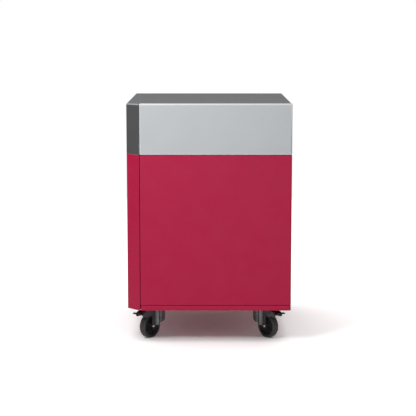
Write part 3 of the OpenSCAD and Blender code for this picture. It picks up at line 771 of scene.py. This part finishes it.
def make_tyre(caster):
    """Tread with two shallow grooves, round shoulders and a moulded line on each side wall."""
    r, half = caster.wheel_r, TYRE_W / 2
    inner = r - TYRE_T
    shoulder = 0.003
    groove, groove_w = 0.0006, 0.0005
    right = arc((r - shoulder, half - shoulder), shoulder, 90, 0, 6)
    tread = []
    for y in (half * 0.4, -half * 0.4):
        tread += [(r, y + groove_w), (r - groove, y + groove_w * 0.6), (r - groove, y - groove_w * 0.6),
                  (r, y - groove_w)]
    left = arc((r - shoulder, -half + shoulder), shoulder, 0, -90, 6)
    side_line = 0.0003
    profile = [(inner, half - 0.001), (inner + 0.0006, half - 0.0002), (inner + 0.001, half - side_line)]
    profile += right + tread + left
    profile += [(inner + 0.001, -half + side_line), (inner + 0.0006, -half + 0.0002), (inner, -half + 0.001)]
    bm = lathe(profile, steps=112)
    bmesh.ops.transform(bm, matrix=caster.wheel_place(), verts=bm.verts)
    caster.put("tyre_tread", bm, "wheel", "tread_rubber", "tyre")


def make_hub(caster):
    """Dished hub with a deep rim, a boss and radial ribs on both faces."""
    rim_r, half = caster.wheel_r - TYRE_T, TYRE_W / 2
    bore = AXLE_R + 0.00005
    boss_r, boss_half = 0.0065, half + 0.0007
    web, rim_t = 0.002, 0.0025
    # From the bore over the boss, across the web and out to the rim
    side = [(bore, boss_half), (boss_r - 0.0008, boss_half), (boss_r, boss_half - 0.0008),
            (boss_r + 0.0004, web + 0.001), (boss_r + 0.0015, web), (rim_r - rim_t - 0.0015, web),
            (rim_r - rim_t - 0.0004, web + 0.001), (rim_r - rim_t, half - 0.0018),
            (rim_r - rim_t + 0.0006, half - 0.001), (rim_r, half - 0.001)]
    profile = side + [(r, -y) for r, y in reversed(side)]
    bm = lathe(profile, steps=72)
    ribs = 10
    rib_half, rib_rise, edge_r = 0.0006, 0.0032, 0.0004
    sunk, lapped = 0.0003, 0.0005
    for i in range(ribs):
        turn = Matrix.Rotation(2 * math.pi * i / ribs, 3, "Y")
        for way in (1, -1):
            y0, y1 = sorted((way * (web - sunk), way * (web + rib_rise)))
            rib = block((boss_r - lapped, y0, -rib_half), (rim_r - rim_t + lapped, y1, rib_half))
            roll(rib, edges_at(rib, lambda m, d: abs(m.y) > web + 0.001), edge_r, 2)
            bmesh.ops.rotate(rib, cent=(0, 0, 0), matrix=turn, verts=rib.verts)
            add_part(bm, rib)
    bmesh.ops.transform(bm, matrix=caster.wheel_place(), verts=bm.verts)
    caster.put("hub_moulding", bm, "wheel", "black_plastic", "hub")


def make_axle(caster):
    """Shaft with a domed head and a washer on each side."""
    outer = FORK_IN + FORK_T
    head_r, head_h = 0.0036, 0.002
    # From the rim of the washer in over the dome
    dome = [(head_r, outer + 0.0006), (head_r * 0.93, outer + 0.0011), (head_r * 0.75, outer + 0.0016),
            (head_r * 0.4, outer + head_h - 0.0001), (0.0006, outer + head_h)]
    half = [(AXLE_R, outer), (head_r, outer)] + dome
    profile = half + [(r, -y) for r, y in reversed(half)]
    bm = lathe(profile, steps=48)
    ends = [e for e in bm.edges if e.is_boundary]
    bmesh.ops.holes_fill(bm, edges=ends)
    bmesh.ops.transform(bm, matrix=caster.wheel_place(), verts=bm.verts)
    caster.put("axle_bolt", bm, "caster", "axle_steel", "axle")


def make_fork_sweeps(caster):
    """Hollow sweeps of the pressed fork, from the outside of each leg round to the step of its horn."""
    step_x = caster.trail * STEP_SHARE
    leg_y = FORK_IN + FORK_T
    sweep = 0.0072
    top_z = high(caster.corner + "_fork").z - 0.0045
    foot_z = 0.031
    foot_slope = Vector((0.55, -0.55, -0.75))
    bm = bmesh.new()
    for side in (1, -1):
        hollow_line = arc((step_x + sweep, leg_y + sweep), sweep, 270, 180, 10)
        outline = [(step_x, leg_y)] + hollow_line
        part = prism([(x, side * y) for x, y in outline], foot_z, top_z)
        slope = Vector((foot_slope.x, side * foot_slope.y, foot_slope.z))
        geom = part.verts[:] + part.edges[:] + part.faces[:]
        bmesh.ops.bisect_plane(part, geom=geom, plane_co=(step_x + sweep, side * leg_y, foot_z),
                               plane_no=slope, clear_outer=True)
        bmesh.ops.holes_fill(part, edges=[e for e in part.edges if e.is_boundary])
        bmesh.ops.recalc_face_normals(part, faces=part.faces)
        add_part(bm, part)
    caster.put("fork_sweeps", bm, "caster", "fork_steel")


def make_casters():
    for corner in ("front_left", "front_right", "rear_left", "rear_right"):
        caster = Caster(corner)
        make_tyre(caster)
        make_hub(caster)
        make_axle(caster)
        make_fork_sweeps(caster)


# ---------------------------------------------------------------- CAD nodes that stay

# Rounding of the edges, by the last word of the node's name
EDGE_ROUNDING = {"fork": 0.0008, "pedal": 0.0009, "tray": 0.0006, "block": 0.0015, "buffers": 0.0006,
                 "plunger": 0.0005, "bodies": 0.0005, "screws": 0.0002}


def tidy_edges(made, width):
    """Rounds the sharp edges of a CAD node with live modifiers."""
    weld = made.modifiers.new("weld", "WELD")
    weld.merge_threshold = 1e-6
    flat = made.modifiers.new("flats", "DECIMATE")
    flat.decimate_type = "DISSOLVE"
    flat.angle_limit = math.radians(0.5)
    bevel = made.modifiers.new("edges", "BEVEL")
    bevel.width = width
    bevel.segments = 2
    bevel.limit_method = "ANGLE"
    bevel.angle_limit = math.radians(35)
    settle(made)


def finish_kept_nodes():
    slots = {part["node"]: part["material_slot"] for part in frame["record"]["subparts"]}
    for node, made in frame["nodes"].items():
        if made.hide_render:
            continue
        made.data.materials.clear()
        made.data.materials.append(MATERIALS[slots[node]])
        tidy_edges(made, EDGE_ROUNDING.get(node.split("_")[-1], 0.0003))


MATERIALS = make_materials()
make_camera()
make_floor()
make_world()
make_lights()
folded_sheet("upper_front_sheet", "upper_front_skin", "upper_drawer", "silver_paint", roll_top=True)
folded_sheet("lower_front_sheet", "lower_front_skin", "lower_drawer", "crimson_paint")
make_upper_shell()
make_lower_shell()
pressed_panel("upper_back_sheet", "upper_back_panel", "graphite_paint")
pressed_panel("lower_back_sheet", "lower_back_panel", "crimson_paint")
folded_sheet("plinth_strip_skin", "plinth_strip", "cabinet", "crimson_paint")
make_casters()
finish_kept_nodes()

scene.view_settings.view_transform = "Standard"
